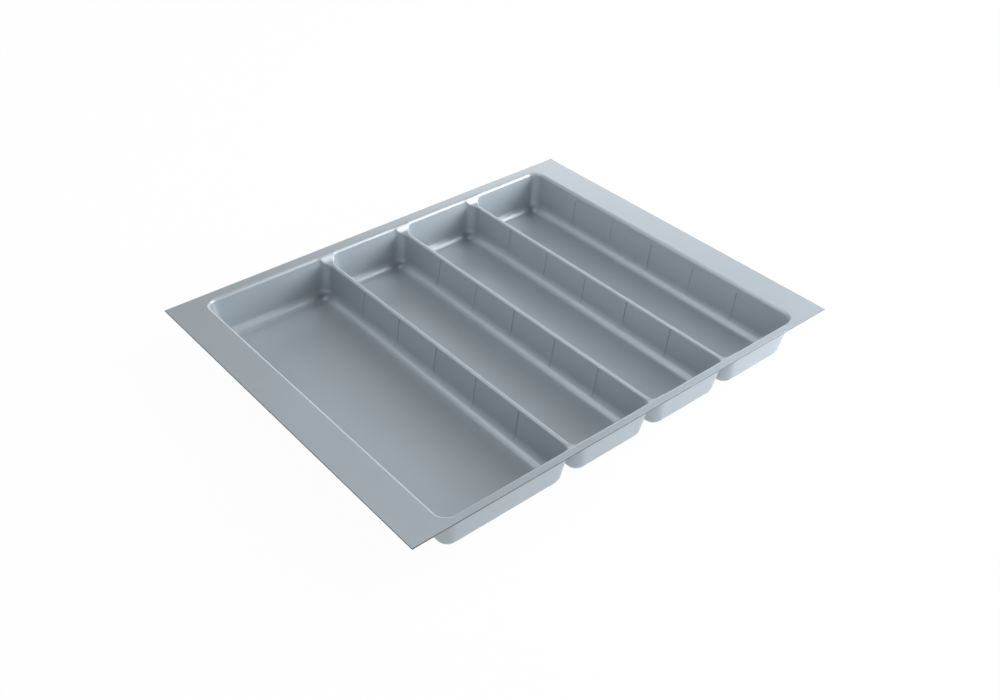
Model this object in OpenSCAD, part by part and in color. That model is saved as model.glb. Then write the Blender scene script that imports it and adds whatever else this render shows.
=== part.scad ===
// Cutlery tray for a kitchen drawer, formed in one piece from plastic sheet.
// The origin is the middle of the rectangle that the tray stands on, with +Y towards the back.

/* [Overall size] */
// Width over the flange, left to right
tray_w = 540; // [420:1:660]
// Depth over the flange, front to back
tray_d = 432; // [360:1:520]
// Height from the surface the tray stands on to the top of the flange
tray_h = 48; // [38:0.5:70]
// Thickness of the sheet
sheet_t = 1.5; // [1:0.1:1.8]

/* [Flange] */
// Flat width of the flange on the left and on the right
side_flange_w = 36; // [10:0.5:60]
// Flat width of the flange along the front
front_flange_w = 6.5; // [6:0.5:30]
// Flat width of the flange along the back
back_flange_w = 11.5; // [6:0.5:30]
// Bend radius where the flange turns down into the walls
rim_r = 3.5; // [2.5:0.1:5]

/* [Compartments] */
// Number of narrow compartments to the right of the wide one
narrow_count = 3; // [1:1:3]
// Mouth width of a narrow compartment, wall to wall at flange level
narrow_w = 101.5; // [70:0.5:105]
// Lean of every wall from upright, in degrees
wall_draft = 8; // [5:0.5:10]
// Ball radius that rounds the upright corners and the foot of every wall
corner_r = 12; // [8:0.5:13]

/* [Dividers] */
// How far the tops of the dividers lie below the flange
divider_drop = 7.5; // [5.5:0.1:10]
// Width across a divider's top, where its flat would meet its walls if the bends were sharp
divider_top_w = 4.6; // [4.4:0.1:8]
// Bend radius along the two edges of a divider's top
divider_r = 1.8; // [1.6:0.1:2.2]
// Bend radius at the head of the ramp from the flange down to a divider
ramp_head_r = 5; // [4:0.1:7]
// Bend radius at the foot of that ramp
ramp_foot_r = 6; // [4:0.1:7]

/* [Guide beads] */
// Number of beads along each long wall
bead_count = 5; // [1:1:7]
// Distance from one bead to the next
bead_pitch = 64; // [30:1:70]
// Width of a bead
bead_w = 1.8; // [1.2:0.1:2.5]
// How far a bead's axis stands out from its wall
bead_lift = 0.2; // [0.1:0.05:0.4]
// How far the tops of the beads lie below the flange
bead_drop = 9; // [8:0.5:15]

/* [Hidden] */
$fn = 96;
// How far a cutting shape runs past what it cuts
over = 2;
// How far a rounded surface runs into its neighbour where the two meet tangentially
blend = 0.01;

// The foot of every wall is rounded by one ball, and this is how high the ball's centre lies
ball_z = sheet_t + corner_r;
lean = tan(wall_draft);
// Level distance from a ball centre to the wall it rounds
wall_reach = corner_r / cos(wall_draft);
// Level distance from a wall's line at flange level in to the axes of the upright corners
corner_reach = wall_reach + (tray_h - ball_z) * lean;
// Level distance from that line out to where the flange becomes flat
rim_reach = rim_r * (1 - sin(wall_draft)) / cos(wall_draft);
// The corner axes lie on this grid, so that the straight and the turned lengths of a wall meet
// exactly
grid = 0.01;

// The divider's thickness, taken at flange level and at its top
divider_w = divider_top_w - 2 * divider_drop * lean;
divider_z = tray_h - divider_drop;

mouth_left = -tray_w / 2 + side_flange_w + rim_reach;
mouth_right = tray_w / 2 - side_flange_w - rim_reach;
mouth_front = -tray_d / 2 + front_flange_w + rim_reach;
mouth_back = tray_d / 2 - back_flange_w - rim_reach;
mouth_mid_y = (mouth_front + mouth_back) / 2;
mouth_half_d = (mouth_back - mouth_front) / 2;

narrow_pitch = narrow_w + divider_w;
wide_w = mouth_right - mouth_left - narrow_count * narrow_pitch;
// Middle and half width of each compartment's mouth, the wide one first
compartments = concat(
    [[mouth_left + wide_w / 2, wide_w / 2]],
    [for (i = [narrow_count - 1:-1:0]) [mouth_right - narrow_w / 2 - i * narrow_pitch, narrow_w / 2]]
);
divider_x = [for (i = [narrow_count:-1:1]) mouth_right - i * narrow_pitch + divider_w / 2];

// Distance from the middle of a compartment to its corner axes, where its mouth has the given
// half size
function corner_axis(half) = round((half - corner_reach) / grid) * grid;

// A bend at the head of a wall: the height where it leaves the wall, and how far its centre lies
// from the corner axes
function bend_foot(level, bend_r) = level - bend_r * (1 - sin(wall_draft));
function bend_axis(level, bend_r) =
    wall_reach + bend_r * cos(wall_draft) + (bend_foot(level, bend_r) - ball_z) * lean;

// The ramp at each end of a divider is two arcs that meet where both lean by ramp_turn
ramp_turn = acos((ramp_head_r + ramp_foot_r - divider_drop) / (ramp_head_r + ramp_foot_r));
ramp_head_y = mouth_half_d + rim_reach;
ramp_foot_y = ramp_head_y - (ramp_head_r + ramp_foot_r) * sin(ramp_turn);
notch_half_w = divider_w / 2 + corner_reach + over;

module along_x(length) rotate([90, 0, 90]) linear_extrude(height = length, center = true) children();

module along_y(length) rotate([90, 0, 0]) linear_extrude(height = length, center = true) children();

// Section of the space above a bend, measured out from the corner axes. Growing a space by the
// sheet's thickness gives the outside.
module bend_outline(level, bend_r, grow, top) {
    bend = max(bend_r - grow, blend);
    axis = bend_axis(level, bend_r);
    low = level - bend_r + bend * sin(wall_draft);
    difference() {
        translate([axis - 2 * bend_r, low]) square([2 * bend_r, top - low]);
        translate([axis, level - bend_r]) circle(bend + blend);
    }
}

// Section of a compartment from a corner axis outwards: the rounded foot of the wall, the wall and
// the bend up on to the flange
module wall_outline(grow, top) {
    ball = corner_r + grow;
    floor_z = ball_z - ball;
    foot = [ball * cos(wall_draft), ball_z - ball * sin(wall_draft)];
    polygon([[0, floor_z], foot, [foot[0] + (top - foot[1]) * lean, top], [0, top]]);
    intersection() {
        translate([0, ball_z]) circle(ball + blend);
        translate([0, floor_z]) square([ball + over, ball]);
    }
}

// Straight walls along a compartment's four sides and turned ones round its corners, drawn with
// the given outline
module ring(half_w, half_d) {
    x = corner_axis(half_w);
    y = corner_axis(half_d);
    for (side = [0, 1]) {
        mirror([side, 0, 0]) translate([x, 0, 0]) along_y(2 * y) children();
        mirror([0, side, 0]) translate([0, y, 0]) along_x(2 * x) children();
    }
    for (side_x = [0, 1], side_y = [0, 1])
        mirror([side_x, 0, 0]) mirror([0, side_y, 0]) translate([x, y, 0])
            rotate_extrude(angle = 90) children();
}

// Inside of a compartment up to the given height
module compartment_space(half_w, half_d, grow, top) {
    x = corner_axis(half_w);
    y = corner_axis(half_d);
    translate([-x, -y, sheet_t - grow]) cube([2 * x, 2 * y, top - sheet_t + grow]);
    ring(half_w, half_d) wall_outline(grow, top);
    ring(half_w, half_d) bend_outline(tray_h, rim_r, grow, top);
}

// The bend along the edge of a divider's top, on the +X side of a compartment. It follows the
// compartment's corners as far as the ramps.
module divider_edge_space(half_w, half_d, grow) {
    y = corner_axis(half_d);
    turn = asin(max(0, ramp_foot_y - y) / bend_axis(divider_z, divider_r));
    translate([corner_axis(half_w), 0, 0]) {
        along_y(2 * y) bend_outline(divider_z, divider_r, grow, divider_z + over);
        for (side = [0, 1])
            mirror([0, side, 0]) translate([0, y, 0])
                rotate_extrude(angle = turn) bend_outline(divider_z, divider_r, grow, divider_z + over);
    }
}

// Front to back section of the space over a divider, with the ramp at each end
module notch_outline(grow, top) {
    low = divider_z - grow;
    foot = [ramp_foot_y, divider_z + ramp_foot_r];
    head = [ramp_head_y, tray_h - ramp_head_r];
    foot_r = ramp_foot_r + grow;
    for (side = [0, 1]) mirror([side, 0]) difference() {
        union() {
            translate([0, low]) square([foot[0], top - low]);
            intersection() {
                translate(foot) circle(foot_r);
                translate([foot[0], low]) square(foot_r);
            }
            polygon([foot, head, [head[0], top], [foot[0], top]]);
        }
        translate(head) circle(ramp_head_r - grow + blend);
    }
}

// Everything above the sheet, up to the given height. Grown by the sheet's thickness it is
// everything above the underside.
module space_above(grow, top) {
    translate([0, mouth_mid_y, 0]) {
        for (c = compartments)
            translate([c[0], 0, 0]) compartment_space(c[1], mouth_half_d, grow, top);
        for (i = [0:narrow_count - 1]) {
            translate([divider_x[i], 0, 0]) along_x(2 * notch_half_w) notch_outline(grow, top);
            translate([compartments[i][0], 0, 0])
                divider_edge_space(compartments[i][1], mouth_half_d, grow);
            translate([compartments[i + 1][0], 0, 0]) mirror([1, 0, 0])
                divider_edge_space(compartments[i + 1][1], mouth_half_d, grow);
        }
    }
}

// A bead with ball ends that lies up the +X wall of a compartment, from just above the rounded foot
// of the wall. half_w is the half width of the compartment's mouth.
module bead(half_w) {
    foot_z = ball_z;
    rise = (tray_h - bead_drop - bead_w / 2 - foot_z) / cos(wall_draft);
    translate([half_w - (tray_h - foot_z) * lean, 0, foot_z])
        rotate([0, wall_draft, 0]) translate([-bead_lift, 0, 0]) {
            cylinder(h = rise, d = bead_w);
            for (end = [0, rise]) translate([0, 0, end]) sphere(d = bead_w);
        }
}

module beads() {
    for (c = compartments, side = [0, 1], i = [0:bead_count - 1])
        translate([c[0], mouth_mid_y + (i - (bead_count - 1) / 2) * bead_pitch, 0])
            mirror([side, 0, 0]) bead(c[1]);
}

module tray() color("#9aa3ab") {
    difference() {
        union() {
            translate([-tray_w / 2, -tray_d / 2, tray_h - sheet_t]) cube([tray_w, tray_d, sheet_t]);
            space_above(sheet_t, tray_h);
        }
        space_above(0, tray_h + over);
    }
    beads();
}

tray();
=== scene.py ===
import math

import bmesh
import bpy
import numpy as np
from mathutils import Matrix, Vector


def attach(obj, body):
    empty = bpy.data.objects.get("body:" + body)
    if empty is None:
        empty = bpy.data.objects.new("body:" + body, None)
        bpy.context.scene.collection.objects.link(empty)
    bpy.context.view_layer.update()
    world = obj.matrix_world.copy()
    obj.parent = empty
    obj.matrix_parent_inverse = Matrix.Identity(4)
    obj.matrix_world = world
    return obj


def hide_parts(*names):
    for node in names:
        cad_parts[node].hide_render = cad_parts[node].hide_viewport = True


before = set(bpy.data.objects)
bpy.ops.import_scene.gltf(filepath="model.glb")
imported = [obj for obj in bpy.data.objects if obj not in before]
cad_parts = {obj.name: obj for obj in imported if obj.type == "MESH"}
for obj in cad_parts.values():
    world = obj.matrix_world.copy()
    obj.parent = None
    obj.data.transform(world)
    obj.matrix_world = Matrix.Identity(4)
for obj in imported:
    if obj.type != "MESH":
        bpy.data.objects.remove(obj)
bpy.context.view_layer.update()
print("frame loaded")


# The sheet: flange, four compartments and the hollow dividers between them

# metres and radians, the same sizes as in the part's source
sheet = {
    "width": 0.540,
    "depth": 0.432,
    "height": 0.048,
    "thickness": 0.0015,
    "sideFlange": 0.036,
    "frontFlange": 0.0065,
    "backFlange": 0.0115,
    "rimBend": 0.0035,
    "narrowCount": 3,
    "narrowWidth": 0.1015,
    "draft": math.radians(8),
    "cornerBall": 0.012,
    "dividerDrop": 0.0075,
    "dividerTop": 0.0046,  # across its top, where flat and walls would meet without the bends
    "dividerBend": 0.0018,
    "rampHead": 0.005,
    "rampFoot": 0.006,
    "edgeRound": 0.00025,  # broken edge of the trimmed flange
    # how finely each stretch is divided
    "cornerSteps": 20,
    "rampSteps": 34,
    "longSteps": 24,
    "shortSteps": 10,
    "filletSteps": 12,
    "wallSteps": 4,
    "bendSteps": 8,
    "support": 0.0004,  # from a bend or an edge to the row of points that holds it
    "topShares": (0, 0.12, 0.5, 0.88, 1),  # where the rows of points lie across a divider's top
    "rampSamples": 400,
    # how closely a bend is fitted between the wall and what lies above it
    "fitDepth": 0.008,  # how far below a divider's top the search for a bend starts
    "fitRounds": 48,
    "bendRounds": 6,
    "leastBend": 0.0002,
    "steepest": 0.9999,  # share of an arc's radius at which its slope stops growing
    # places and shares this close count as one
    "near": 1e-6,
    "weld": 2e-6,
    "shortest": 1e-7,
}
# the second slot holds the dark edge material, which paints the shade under the flange's edge
faceSlot, edgeShadeSlot = 0, 1  # the sheet's material slots

lean = math.tan(sheet["draft"])
sinDraft = math.sin(sheet["draft"])
cosDraft = math.cos(sheet["draft"])
ballZ = sheet["thickness"] + sheet["cornerBall"]
wallReach = sheet["cornerBall"] / cosDraft
rimReach = sheet["rimBend"] * (1 - sinDraft) / cosDraft
dividerZ = sheet["height"] - sheet["dividerDrop"]
dividerWidth = sheet["dividerTop"] - 2 * sheet["dividerDrop"] * lean

mouthRight = sheet["width"] / 2 - sheet["sideFlange"] - rimReach
mouthFront = -sheet["depth"] / 2 + sheet["frontFlange"] + rimReach
mouthBack = sheet["depth"] / 2 - sheet["backFlange"] - rimReach
midY = (mouthFront + mouthBack) / 2
halfDepth = (mouthBack - mouthFront) / 2
pitch = sheet["narrowWidth"] + dividerWidth
wideWidth = 2 * mouthRight - sheet["narrowCount"] * pitch

# middle and half width of each mouth, the wide one first
compartments = [(-mouthRight + wideWidth / 2, wideWidth / 2)] + [
    (mouthRight - sheet["narrowWidth"] / 2 - i * pitch, sheet["narrowWidth"] / 2)
    for i in reversed(range(sheet["narrowCount"]))
]

rampSum = sheet["rampHead"] + sheet["rampFoot"]
rampTurn = math.acos((rampSum - sheet["dividerDrop"]) / rampSum)
headY = halfDepth + rimReach
footY = headY - rampSum * math.sin(rampTurn)


def overDivider(y, grow):
    # height and slope of the sheet over a divider, ramps included; grow is how far below the upper face
    y = np.abs(y)
    footR = sheet["rampFoot"] + grow
    headR = sheet["rampHead"] - grow
    z = np.full_like(y, dividerZ - grow)
    slope = np.zeros_like(y)
    bendY = footY + footR * math.sin(rampTurn)
    low = (y > footY) & (y <= bendY)
    s = np.clip((y - footY) / footR, 0, sheet["steepest"])
    z = np.where(low, dividerZ + sheet["rampFoot"] - footR * np.sqrt(1 - s * s), z)
    slope = np.where(low, s / np.sqrt(1 - s * s), slope)
    high = (y > bendY) & (y < headY)
    s = np.clip((headY - y) / headR, 0, sheet["steepest"])
    z = np.where(high, sheet["height"] - sheet["rampHead"] + headR * np.sqrt(1 - s * s), z)
    slope = np.where(high, s / np.sqrt(1 - s * s), slope)
    z = np.where(y >= headY, sheet["height"] - grow, z)
    return z, slope


def ballLine(half):
    # from the middle of a mouth out to the centres of the ball that rounds its walls' feet
    return half - wallReach - (sheet["height"] - ballZ) * lean


def onBall(x0, y0, ball, phi, c, s):
    # points at the angle phi up the ball that rounds the foot of a wall
    out = ball * np.sin(phi)
    return np.stack([x0 + out * c, y0 + out * s, ballZ - ball * np.cos(phi)], -1)


def wallStart(turn, a, b, halfX, grow):
    # where the rounded foot of a wall ends, with the foot's own angle and the wall's direction
    ball = sheet["cornerBall"] + grow
    c, s = np.cos(turn), np.sin(turn)
    outX = np.where(np.abs(c) > sheet["near"], a * lean, 0.0)
    outY = np.where(np.abs(s) > sheet["near"], b * lean, 0.0)
    rate = outX * c + outY * s
    foot = np.arctan(1 / rate)
    x0, y0 = a * ballLine(halfX), b * ballLine(halfDepth)
    start = onBall(x0, y0, ball, foot, c, s)
    way = np.stack([a * lean, b * lean, np.ones_like(c)], -1)
    return start, way, foot, rate


def solveBend(turn, a, b, halfX, overNotch, grow):
    # the bend from the wall to the surface above it: its wall end, and the angles that it turns through
    start, way, foot, rate = wallStart(turn, a, b, halfX, grow)
    c, s = np.cos(turn), np.sin(turn)
    top = np.full_like(c, sheet["height"] - grow)
    low, high = np.full_like(c, dividerZ - sheet["fitDepth"]), top.copy()
    steep = np.arctan(1 / rate)
    for _ in range(sheet["fitRounds"]):
        z = (low + high) / 2
        wall = start + (z - start[:, 2])[:, None] * way
        end, bend = np.zeros_like(z), np.full_like(z, sheet["rimBend"])
        for _ in range(sheet["bendRounds"]):
            reach = bend * (np.sin(steep) - np.sin(end))
            zEnd = z + bend * (np.cos(end) - np.cos(steep))
            zTop, slope = overDivider(wall[:, 1] + s * reach, grow)
            zTop = np.where(overNotch, zTop, top)
            slope = np.where(overNotch, slope, 0.0)
            end = np.arctan(slope * np.abs(s))
            share = np.clip((zTop + grow - dividerZ) / sheet["dividerDrop"], 0, 1)
            bend = sheet["dividerBend"] + (sheet["rimBend"] - sheet["dividerBend"]) * share - grow
            bend = np.maximum(bend, sheet["leastBend"])
        tooHigh = zEnd > zTop
        high = np.where(tooHigh, z, high)
        low = np.where(tooHigh, low, z)
    return start, foot, wall, steep, end, bend


def spreadRamp(halfX):
    # corner angles, closer together where the divider's edge climbs the ramp
    fine = np.linspace(0, math.pi / 2, sheet["rampSamples"])
    one = np.ones_like(fine)
    start, foot, wall, steep, end, bend = solveBend(fine, one, one, halfX, one > 0, 0.0)
    z = wall[:, 2] + bend * (np.cos(end) - np.cos(steep))
    length = np.concatenate([[0], np.cumsum(np.hypot(np.diff(z), sheet["cornerBall"] * np.diff(fine)))])
    return np.interp(np.linspace(0, length[-1], sheet["rampSteps"] + 1), length, fine)


def stations(halfX, notchLeft, notchRight, rampTurns):
    # once round a compartment: angle of the outward normal, place of the ball centre, and what lies above
    plain = np.linspace(0, math.pi / 2, sheet["cornerSteps"] + 1)
    right = rampTurns if notchRight else plain
    left = rampTurns if notchLeft else plain
    sideShares = np.linspace(-1, 1, sheet["longSteps"] + 1)
    endShares = np.linspace(1, -1, sheet["shortSteps"] + 1)
    rows = []
    for b in sideShares[1:-1]:
        rows.append((0.0, 1, b, notchRight))
    rows += [(t, 1, 1, notchRight) for t in right]
    for a in endShares[1:-1]:
        rows.append((math.pi / 2, a, 1, False))
    rows += [(math.pi - t, -1, 1, notchLeft) for t in left[::-1]]
    for b in -sideShares[1:-1]:
        rows.append((math.pi, -1, b, notchLeft))
    rows += [(math.pi + t, -1, -1, notchLeft) for t in left]
    for a in -endShares[1:-1]:
        rows.append((1.5 * math.pi, a, -1, False))
    rows += [(2 * math.pi - t, 1, -1, notchRight) for t in right[::-1]]
    turn, a, b, notch = (np.array(v, float) for v in zip(*rows))
    return turn, a, b, notch > 0.5


def profiles(halfX, turn, a, b, notch, grow):
    # every station's points from the floor up over the bend
    start, foot, wall, steep, end, bend = solveBend(turn, a, b, halfX, notch, grow)
    c, s = np.cos(turn), np.sin(turn)
    ball = sheet["cornerBall"] + grow
    x0, y0 = a * ballLine(halfX), b * ballLine(halfDepth)
    rings = []
    for share in np.linspace(0, 1, sheet["filletSteps"] + 1):
        rings.append(onBall(x0, y0, ball, foot * share, c, s))
    rise = wall[:, 2] - start[:, 2]
    support = sheet["support"] / rise
    for share in np.linspace(0, 1, sheet["wallSteps"] + 1)[1:-1]:
        rings.append(start + share * (wall - start))
    rings.insert(sheet["filletSteps"] + 1, start + support[:, None] * (wall - start))
    rings.append(wall - support[:, None] * (wall - start))
    for share in np.linspace(0, 1, sheet["bendSteps"] + 1):
        angle = steep + (end - steep) * share
        out = bend * (np.sin(steep) - np.sin(angle))
        up = bend * (np.cos(angle) - np.cos(steep))
        rings.append(wall + np.stack([c * out, s * out, up], -1))
    return np.array(rings)


def addGrid(bm, rows, closed=False, material=faceSlot):
    # quads between rows of points; what touches is welded at the end
    rows = [[bm.verts.new(p) for p in row] for row in rows]
    for low, high in zip(rows, rows[1:]):
        for j in range(len(low) if closed else len(low) - 1):
            k = (j + 1) % len(low)
            bm.faces.new((low[j], low[k], high[k], high[j])).material_index = material


def addSheetFace(bm, grow):
    # the compartments and divider tops of one face of the sheet; returns the points where the flange starts
    rampTurns = spreadRamp(sheet["narrowWidth"] / 2)
    last = len(compartments) - 1
    topShares = np.array(sheet["topShares"])
    rimPoints, leftRim = [], None
    for k, (x, halfX) in enumerate(compartments):
        turn, a, b, notch = stations(halfX, k > 0, k < last, rampTurns)
        rings = profiles(halfX, turn, a, b, notch, grow) + [x, midY, 0]
        addGrid(bm, rings, closed=True)
        xs = x + ballLine(halfX) * np.linspace(-1, 1, sheet["shortSteps"] + 1)
        ys = midY + ballLine(halfDepth) * np.linspace(-1, 1, sheet["longSteps"] + 1)
        floorZ = sheet["thickness"] - grow
        addGrid(bm, [[(px, py, floorZ) for px in xs] for py in ys])
        rim = rings[-1]
        rimPoints += list(rim[~notch])
        for side in (-1, 1):
            # this side's rim, with both of its corners, from front to back
            onSide = (a == side) & (side * np.cos(turn) > -sheet["near"])
            edge = rim[onSide]
            edge = edge[np.argsort(edge[:, 1])]
            if side < 0 and k > 0:  # the divider's top: level rows from rim to rim
                rows = leftRim[:, None] + topShares[:, None] * (edge - leftRim)[:, None]
                addGrid(bm, rows)
                rimPoints += list(rows[0]) + list(rows[-1])
            if side > 0:
                leftRim = edge
    points = np.unique(np.round(np.array(rimPoints), 7), axis=0)
    # in order of their angle, counted from between two points so that none lies on the seam
    seamY = midY + 0.0013
    return points[np.argsort(np.arctan2(points[:, 1] - seamY, points[:, 0]))]


def flangeEdge(loop):
    # the point on the trimmed edge that each rim point runs out to
    halfW, halfD = sheet["width"] / 2, sheet["depth"] / 2
    rimX, rimY = np.abs(loop[:, 0]).max(), np.abs(loop[:, 1] - midY).max()
    straightX = np.abs(np.abs(loop[:, 0]) - rimX) < sheet["near"]
    straightY = np.abs(np.abs(loop[:, 1] - midY) - rimY) < sheet["near"]
    arc = ~(straightX | straightY)
    startX, startY = np.abs(loop[straightY, 0]).max(), np.abs(loop[straightX, 1] - midY).max()
    signX, signY = np.sign(loop[:, 0]), np.sign(loop[:, 1] - midY)
    angle = np.arctan2(np.abs(loop[:, 1] - midY) - startY, np.abs(loop[:, 0]) - startX) / (math.pi / 4)
    out = loop.copy()
    out[straightX, 0] = signX[straightX] * halfW
    out[straightY, 1] = signY[straightY] * halfD
    sideEnd = midY + signY * startY
    x = np.where(angle < 1, halfW, startX + (halfW - startX) * (2 - angle)) * signX
    y = np.where(angle < 1, sideEnd + (signY * halfD - sideEnd) * angle, signY * halfD)
    out[arc, 0], out[arc, 1] = x[arc], y[arc]
    return out


def buildSheet():
    bm = bmesh.new()
    edges = []
    half = np.array([sheet["width"], sheet["depth"]]) / 2
    for grow in (0.0, sheet["thickness"]):
        loop = addSheetFace(bm, grow)
        out = flangeEdge(loop)
        atEdge = np.abs(out[:, :2]) >= half - sheet["near"]
        inset = out.copy()
        inset[:, :2] -= np.sign(out[:, :2]) * sheet["edgeRound"] * atEdge
        span = np.linalg.norm(inset - loop, axis=1)[:, None]
        rows = [loop, loop + (inset - loop) * sheet["support"] / span, (loop + inset) / 2]
        rows += [inset + (loop - inset) * sheet["support"] / span, inset]
        addGrid(bm, rows, closed=True)
        side = 1 if grow else -1
        edges += [inset, out + [0, 0, side * sheet["edgeRound"]]]
    first, second, fourth, third = edges
    # the trimmed edge takes the dark material, whose colour is painted shade: the shadow line under the
    # flange's edge
    addGrid(bm, [first, second, third, fourth], closed=True, material=edgeShadeSlot)
    bmesh.ops.remove_doubles(bm, verts=bm.verts, dist=sheet["weld"])
    bmesh.ops.dissolve_degenerate(bm, edges=bm.edges, dist=sheet["shortest"])
    bmesh.ops.recalc_face_normals(bm, faces=bm.faces)
    for face in bm.faces:
        face.smooth = True
    mesh = bpy.data.meshes.new("traySheet")
    bm.to_mesh(mesh)
    openEdges = sum(not e.is_manifold for e in bm.edges)
    volume = round(bm.calc_volume() * 1e9)
    print("sheet built:", len(bm.faces), "faces,", openEdges, "open edges,", volume, "mm3")
    bm.free()
    tray = bpy.data.objects.new("traySheet", mesh)
    bpy.context.collection.objects.link(tray)
    return tray


# Guide beads: thin ribs that run up the long walls, set out and drawn by rule

beads = {
    "count": 5,
    "pitch": 0.064,
    "width": 0.0018,
    "lift": 0.0,  # how far a rib's axis stands out from the wall
    "drop": 0.0079,  # from the flange down to the rib's top
    "foot": 0.0055,  # height at which a rib runs out in the rounded foot
    "footShare": 0.5,  # thickness down there, as a share of the thickness at the top
    "taperPower": 3,  # the higher, the nearer to the top the rib thickens
    "tipLeft": 0.0005,  # keeps a rib's two tips from closing to nothing
    "points": 36,  # along a rib
    "facets": 14,  # round it
}


def addInput(tree, name, kind, value=None):
    # a named input of a node tree; returns the identifier that a modifier knows it by
    made = tree.interface.new_socket(name, in_out="INPUT", socket_type="NodeSocket" + kind)
    if value is not None:
        made.default_value = value
    return made.identifier


def wire(tree, node, **values):
    # fills a node's inputs, named without their spaces, from sockets or plain values
    for name, value in values.items():
        target = next(s for s in node.inputs if s.name.replace(" ", "") == name and s.enabled)
        if isinstance(value, bpy.types.NodeSocket):
            tree.links.new(value, target)
        else:
            target.default_value = value
    return node


def calc(tree, operation, *values):
    # the result of one Math node, fed from sockets or plain values
    node = tree.nodes.new("ShaderNodeMath")
    node.operation = operation
    for target, value in zip(node.inputs, values):
        if isinstance(value, bpy.types.NodeSocket):
            tree.links.new(value, target)
        else:
            target.default_value = value
    return node.outputs[0]


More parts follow.
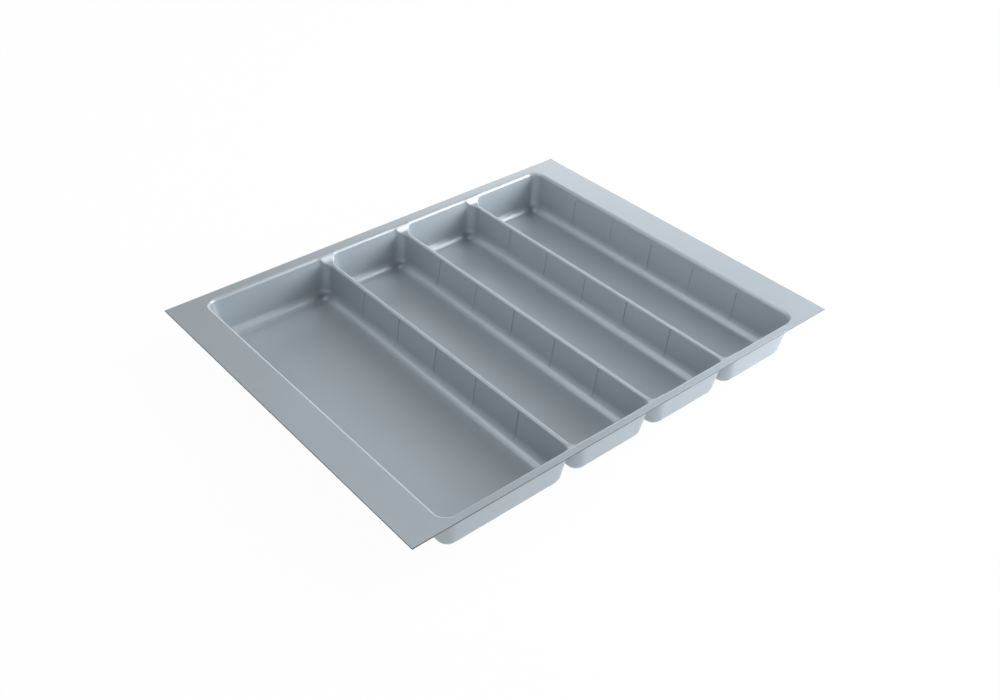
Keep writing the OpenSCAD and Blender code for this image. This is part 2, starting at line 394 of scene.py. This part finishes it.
def beadTree(material):
    tree = bpy.data.node_groups.new("guideBeads", "GeometryNodeTree")
    tree.interface.new_socket("Geometry", in_out="OUTPUT", socket_type="NodeSocketGeometry")
    tree.interface.new_socket("Wall Points", in_out="INPUT", socket_type="NodeSocketGeometry")
    inputs = {
        addInput(tree, "Count", "Int"): beads["count"],
        addInput(tree, "Pitch", "Float"): beads["pitch"],
        addInput(tree, "Width", "Float"): beads["width"],
        addInput(tree, "Ball Height", "Float"): ballZ,
        addInput(tree, "Sweep Radius", "Float"): sheet["cornerBall"] - beads["lift"],
        addInput(tree, "Draft", "Float"): sheet["draft"],
        addInput(tree, "Foot Angle", "Float"): math.acos((ballZ - beads["foot"]) / sheet["cornerBall"]),
        addInput(tree, "Rise", "Float"): (
            sheet["height"] - beads["drop"] - ballZ + sheet["cornerBall"] * sinDraft
        ) / cosDraft,
        addInput(tree, "Foot Share", "Float"): beads["footShare"],
        addInput(tree, "Points", "Int"): beads["points"],
        addInput(tree, "Facets", "Int"): beads["facets"],
        addInput(tree, "Material", "Material"): material,
    }
    new = tree.nodes.new
    given = new("NodeGroupInput").outputs

    # one rib: up the rounded foot, then up the wall, its points closest together at the two ends
    index = new("GeometryNodeInputIndex").outputs[0]
    even = calc(tree, "DIVIDE", index, calc(tree, "SUBTRACT", given["Points"], 1))
    swing = calc(tree, "COSINE", calc(tree, "MULTIPLY", even, math.pi))
    share = calc(tree, "MULTIPLY", calc(tree, "SUBTRACT", 1, swing), 0.5)
    turn = calc(tree, "SUBTRACT", calc(tree, "SUBTRACT", math.pi / 2, given["Draft"]), given["Foot Angle"])
    arc = calc(tree, "MULTIPLY", turn, given["Sweep Radius"])
    length = calc(tree, "ADD", arc, given["Rise"])
    along = calc(tree, "MULTIPLY", share, length)
    swept = calc(tree, "DIVIDE", calc(tree, "MINIMUM", along, arc), given["Sweep Radius"])
    angle = calc(tree, "ADD", given["Foot Angle"], swept)
    above = calc(tree, "MAXIMUM", calc(tree, "SUBTRACT", along, arc), 0)
    x = calc(tree, "MULTIPLY_ADD", calc(tree, "SINE", angle), given["Sweep Radius"],
             calc(tree, "MULTIPLY", above, calc(tree, "SINE", given["Draft"])))
    risen = calc(tree, "MULTIPLY_ADD", above, calc(tree, "COSINE", given["Draft"]), given["Ball Height"])
    sunk = calc(tree, "MULTIPLY", calc(tree, "COSINE", angle), given["Sweep Radius"])
    z = calc(tree, "SUBTRACT", risen, sunk)
    place = wire(tree, new("ShaderNodeCombineXYZ"), X=x, Z=z).outputs[0]
    half = calc(tree, "MULTIPLY", given["Width"], 0.5)
    nearEnd = calc(tree, "MINIMUM", along, calc(tree, "SUBTRACT", length, along))
    tip = calc(tree, "SUBTRACT", 1, calc(tree, "MINIMUM", calc(tree, "DIVIDE", nearEnd, half), 1))
    late = calc(tree, "POWER", share, beads["taperPower"])
    rest = calc(tree, "SUBTRACT", 1, given["Foot Share"])
    taper = calc(tree, "MULTIPLY_ADD", late, rest, given["Foot Share"])
    dome = calc(tree, "SQRT", calc(tree, "SUBTRACT", 1 + beads["tipLeft"], calc(tree, "MULTIPLY", tip, tip)))
    radius = calc(tree, "MULTIPLY", calc(tree, "MULTIPLY", half, taper), dome)
    line = wire(tree, new("GeometryNodeMeshLine"), Count=given["Points"])
    bent = wire(tree, new("GeometryNodeSetPosition"), Geometry=line.outputs[0], Position=place)
    curve = wire(tree, new("GeometryNodeMeshToCurve"), Mesh=bent.outputs[0])
    ring = wire(tree, new("GeometryNodeCurvePrimitiveCircle"), Resolution=given["Facets"], Radius=1.0)
    rib = wire(tree, new("GeometryNodeCurveToMesh"), Curve=curve.outputs[0], ProfileCurve=ring.outputs[0],
               Scale=radius, FillCaps=True)

    # set out along every wall, and turned to face the middle of its compartment
    copies = new("GeometryNodeDuplicateElements")
    copies.domain = "POINT"
    wire(tree, copies, Geometry=given["Wall Points"], Amount=given["Count"])
    middle = calc(tree, "MULTIPLY", calc(tree, "SUBTRACT", given["Count"], 1), 0.5)
    step = calc(tree, "MULTIPLY", calc(tree, "SUBTRACT", copies.outputs[1], middle), given["Pitch"])
    moved = wire(tree, new("GeometryNodeSetPosition"), Geometry=copies.outputs[0],
                 Offset=wire(tree, new("ShaderNodeCombineXYZ"), Y=step).outputs[0])
    side = wire(tree, new("GeometryNodeInputNamedAttribute"), Name="side")
    facing = calc(tree, "MULTIPLY", calc(tree, "SUBTRACT", 1, side.outputs[0]), math.pi / 2)
    placed = wire(tree, new("GeometryNodeInstanceOnPoints"), Points=moved.outputs[0], Instance=rib.outputs[0],
                  Rotation=wire(tree, new("ShaderNodeCombineXYZ"), Z=facing).outputs[0])
    real = wire(tree, new("GeometryNodeRealizeInstances"), Geometry=placed.outputs[0])
    smooth = wire(tree, new("GeometryNodeSetShadeSmooth"), Geometry=real.outputs[0])
    painted = wire(tree, new("GeometryNodeSetMaterial"), Geometry=smooth.outputs[0],
                   Material=given["Material"])
    tree.links.new(painted.outputs[0], new("NodeGroupOutput").inputs[0])
    return tree, inputs


def buildBeads(material):
    # one point for every long wall, on the line that the rounded foot is swept about
    walls = [
        (x + side * ballLine(halfX), midY, 0, side)
        for x, halfX in compartments for side in (-1, 1)
    ]
    mesh = bpy.data.meshes.new("beadWalls")
    mesh.from_pydata([wall[:3] for wall in walls], [], [])
    sides = mesh.attributes.new("side", "FLOAT", "POINT")
    sides.data.foreach_set("value", [wall[3] for wall in walls])
    piece = bpy.data.objects.new("guideBeads", mesh)
    bpy.context.collection.objects.link(piece)
    tree, inputs = beadTree(material)
    modifier = piece.modifiers.new("setOut", "NODES")
    modifier.node_group = tree
    for identifier, value in inputs.items():
        modifier[identifier] = value
    made = piece.evaluated_get(bpy.context.evaluated_depsgraph_get())
    piece.data = bpy.data.meshes.new_from_object(made)
    piece.modifiers.clear()
    piece.data.name = "guideBeads"
    print("guide beads built:", len(piece.data.polygons), "faces")
    return piece


# Satin silver-grey plastic: one finish for the formed faces, and a duller, much darker one on the trimmed
# edge whose dark colour paints the shade under the flange's edge

satinFace = {
    "colour": (0.388, 0.436, 0.480, 1),
    "metallic": 0.4,
    "roughness": 0.42,
    "coat": 0.32,
    "coatRoughness": 0.27,
    "roughnessDrift": 0.05,
    "toneDrift": 0.03,
    "grainSize": 0.0007,  # from one grain to the next
    "bump": 0.00003,
}
# the trimmed edge is the same plastic as the faces; its dark colour is painted shade, the shadow line under
# the flange's edge
trimmedEdgeShade = {
    "colour": (0.11, 0.13, 0.15, 1),
    "metallic": 0.0,
    "coat": 0.0,
    "coatRoughness": 0.5,
    "roughness": 0.55,
    "roughnessDrift": 0.1,
    "toneDrift": 0.08,
    "grainSize": 0.0004,
    "bump": 0.00006,
}


clouds = {  # slow changes over the sheet, the same for both finishes
    "broadScale": 11.0,
    "narrowScale": 46.0,
    "grainRoughness": 0.6,
}


def buildFinishGroup():
    # fine grain, with slow changes of tone and gloss over the sheet
    group = bpy.data.node_groups.new("formedSheetFinish", "ShaderNodeTree")
    for name, kind, value in (
        ("Color", "Color", (0.4, 0.4, 0.4, 1)),
        ("Tone Drift", "Float", 0.03),
        ("Roughness", "Float", 0.35),
        ("Roughness Drift", "Float", 0.05),
        ("Grain Size", "Float", 0.0006),
    ):
        addInput(group, name, kind, value)
    for name, kind in (("Color", "Color"), ("Roughness", "Float"), ("Height", "Float")):
        group.interface.new_socket(name, in_out="OUTPUT", socket_type="NodeSocket" + kind)
    new = group.nodes.new
    given = new("NodeGroupInput").outputs
    where = new("ShaderNodeTexCoord").outputs["Object"]
    broad = wire(group, new("ShaderNodeTexNoise"), Vector=where, Scale=clouds["broadScale"], Detail=2.0)
    narrow = wire(group, new("ShaderNodeTexNoise"), Vector=where, Scale=clouds["narrowScale"], Detail=3.0)
    perMetre = calc(group, "DIVIDE", 1, given["Grain Size"])
    fine = wire(group, new("ShaderNodeTexNoise"), Vector=where, Scale=perMetre, Detail=2.0,
                Roughness=clouds["grainRoughness"])
    grain = fine.outputs[0]
    drift = calc(group, "SUBTRACT", calc(group, "ADD", broad.outputs[0], narrow.outputs[0]), 1)
    speck = calc(group, "SUBTRACT", grain, 0.5)
    speckled = calc(group, "MULTIPLY_ADD", speck, given["Tone Drift"], 1)
    tone = calc(group, "MULTIPLY_ADD", drift, given["Tone Drift"], speckled)
    scale = new("ShaderNodeVectorMath")
    scale.operation = "SCALE"
    wire(group, scale, Vector=given["Color"], Scale=tone)
    uneven = calc(group, "ADD", drift, speck)
    gloss = calc(group, "MULTIPLY_ADD", uneven, given["Roughness Drift"], given["Roughness"])
    out = new("NodeGroupOutput")
    wire(group, out, Color=scale.outputs[0], Roughness=gloss, Height=grain)
    return group


def buildPlastic(name, finish, group):
    material = bpy.data.materials.new(name)
    material.use_nodes = True
    tree = material.node_tree
    shader = tree.nodes["Principled BSDF"]
    surface = tree.nodes.new("ShaderNodeGroup")
    surface.node_tree = group
    wire(tree, surface, Color=finish["colour"], ToneDrift=finish["toneDrift"], Roughness=finish["roughness"],
         RoughnessDrift=finish["roughnessDrift"], GrainSize=finish["grainSize"])
    made = surface.outputs
    bump = tree.nodes.new("ShaderNodeBump")
    wire(tree, bump, Strength=1.0, Distance=finish["bump"], Height=made["Height"])
    wire(tree, shader, BaseColor=made["Color"], Roughness=made["Roughness"], Metallic=finish["metallic"],
         CoatWeight=finish["coat"], CoatRoughness=finish["coatRoughness"], Normal=bump.outputs[0])
    return material


finishGroup = buildFinishGroup()
facePlastic = buildPlastic("satinSheetFace", satinFace, finishGroup)
# the edge plastic's dark colour is painted shade under the flange's edge
edgeShadePlastic = buildPlastic("trimmedEdgePaintedShade", trimmedEdgeShade, finishGroup)
print("plastics made")
traySheet = buildSheet()
traySheet.data.materials.append(facePlastic)
traySheet.data.materials.append(edgeShadePlastic)
guideBeads = buildBeads(facePlastic)


# Floor, soft lights and the photograph's camera

studio = {
    "floorColour": (0.84, 0.84, 0.84, 1),
    "floorRoughness": 0.9,
    "floorReach": 9,
    "floorDrop": 0.0002,  # keeps the floor clear of the tray's undersides
    "whiteShare": 0.97,  # how much of the floor's look to the camera is plain white
    # strength of the room low down and overhead, and the heights between which it changes
    "skyLow": 0.84,
    "skyHigh": 0.05,
    "skyFrom": 0.1,
    "skyTo": 0.8,
    # name, direction, distance, width, height, power, colour
    "softboxes": (
        ("rightSoftbox", (0.782, -0.21, 0.59), 2.0, 0.9, 1.1, 24.5, (1.0, 0.99, 0.97)),
        ("frontTopSoftbox", (0.52, -0.31, 0.79), 2.0, 0.35, 0.35, 4.5, (1.0, 1.0, 1.0)),
        ("frontRightSoftbox", (0.74, -0.62, 0.26), 1.0, 0.6, 0.4, 9.4, (0.93, 0.98, 1.0)),
        ("topBackSoftbox", (0.0, 0.342, 0.94), 2.0, 0.7, 0.7, 6.4, (1.0, 1.0, 1.0)),
        ("backLeftSoftbox", (-0.4545, 0.4545, 0.766), 2.0, 0.8, 0.8, 6.8, (0.97, 1.0, 1.0)),
        ("lowBackSoftbox", (0.664, 0.664, 0.342), 2.0, 1.2, 0.5, 4.5, (1.0, 1.0, 1.0)),
    ),
}


def seenRays(tree):
    # 1 for camera, glossy and transmission rays
    rays = tree.nodes.new("ShaderNodeLightPath").outputs
    direct = calc(tree, "MAXIMUM", rays["Is Camera Ray"], rays["Is Glossy Ray"])
    return calc(tree, "MAXIMUM", direct, rays["Is Transmission Ray"])


def buildFloor():
    mesh = bpy.data.meshes.new("studioFloor")
    reach, z = studio["floorReach"], -studio["floorDrop"]
    corners = [(-reach, -reach, z), (reach, -reach, z), (reach, reach, z), (-reach, reach, z)]
    mesh.from_pydata(corners, [], [(0, 1, 2, 3)])
    floor = bpy.data.objects.new("studioFloor", mesh)
    bpy.context.collection.objects.link(floor)
    material = bpy.data.materials.new("paleFloor")
    material.use_nodes = True
    tree = material.node_tree
    shader = tree.nodes["Principled BSDF"]
    wire(tree, shader, BaseColor=studio["floorColour"], Roughness=studio["floorRoughness"])
    white = wire(tree, tree.nodes.new("ShaderNodeEmission"), Color=(1, 1, 1, 1), Strength=1.0)
    mix = tree.nodes.new("ShaderNodeMixShader")
    tree.links.new(calc(tree, "MULTIPLY", seenRays(tree), studio["whiteShare"]), mix.inputs[0])
    tree.links.new(shader.outputs[0], mix.inputs[1])
    tree.links.new(white.outputs[0], mix.inputs[2])
    tree.links.new(mix.outputs[0], tree.nodes["Material Output"].inputs["Surface"])
    mesh.materials.append(material)
    return floor


def buildWorld():
    # a soft room: bright low down, dimmer overhead
    world = bpy.data.worlds.new("softRoom")
    bpy.context.scene.world = world
    world.use_nodes = True
    tree = world.node_tree
    new = tree.nodes.new
    direction = new("ShaderNodeTexCoord").outputs["Generated"]
    split = wire(tree, new("ShaderNodeSeparateXYZ"), Vector=direction)
    height = new("ShaderNodeMapRange")
    height.interpolation_type = "SMOOTHSTEP"
    wire(tree, height, Value=split.outputs[2], FromMin=studio["skyFrom"], FromMax=studio["skyTo"],
         ToMin=studio["skyLow"], ToMax=studio["skyHigh"])
    wire(tree, tree.nodes["Background"], Color=(1, 1, 1, 1), Strength=height.outputs[0])


def addSoftbox(name, direction, distance, width, height, power, colour):
    light = bpy.data.lights.new(name, "AREA")
    light.shape, light.size, light.size_y = "RECTANGLE", width, height
    light.energy, light.color = power, colour
    box = bpy.data.objects.new(name, light)
    bpy.context.collection.objects.link(box)
    direction = Vector(direction).normalized()
    box.location = direction * distance
    box.rotation_euler = direction.to_track_quat("Z", "Y").to_euler()


# where the photograph was taken from, solved from the flange's corners
photoCamera = {
    "place": (-0.63519, -0.74871, 0.73572),
    "turn": (52.96685, -0.74533, -39.96627),  # degrees
    "lens": 41.179,
    "sensor": 36,
    "clipStart": 0.01,
}


def addCamera():
    camera = bpy.data.objects.new("photoCamera", bpy.data.cameras.new("photoCamera"))
    bpy.context.collection.objects.link(camera)
    camera.location = photoCamera["place"]
    camera.rotation_euler = [math.radians(angle) for angle in photoCamera["turn"]]
    camera.data.lens, camera.data.sensor_width = photoCamera["lens"], photoCamera["sensor"]
    camera.data.clip_start = photoCamera["clipStart"]
    bpy.context.scene.camera = camera


floor = buildFloor()
buildWorld()
for softbox in studio["softboxes"]:
    addSoftbox(*softbox)
addCamera()
bpy.context.scene.view_settings.view_transform = "Standard"
print("stage, lights and camera set")


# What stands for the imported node, and what rides with it

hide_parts("tray")
for piece in (traySheet, guideBeads):
    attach(piece, "root")
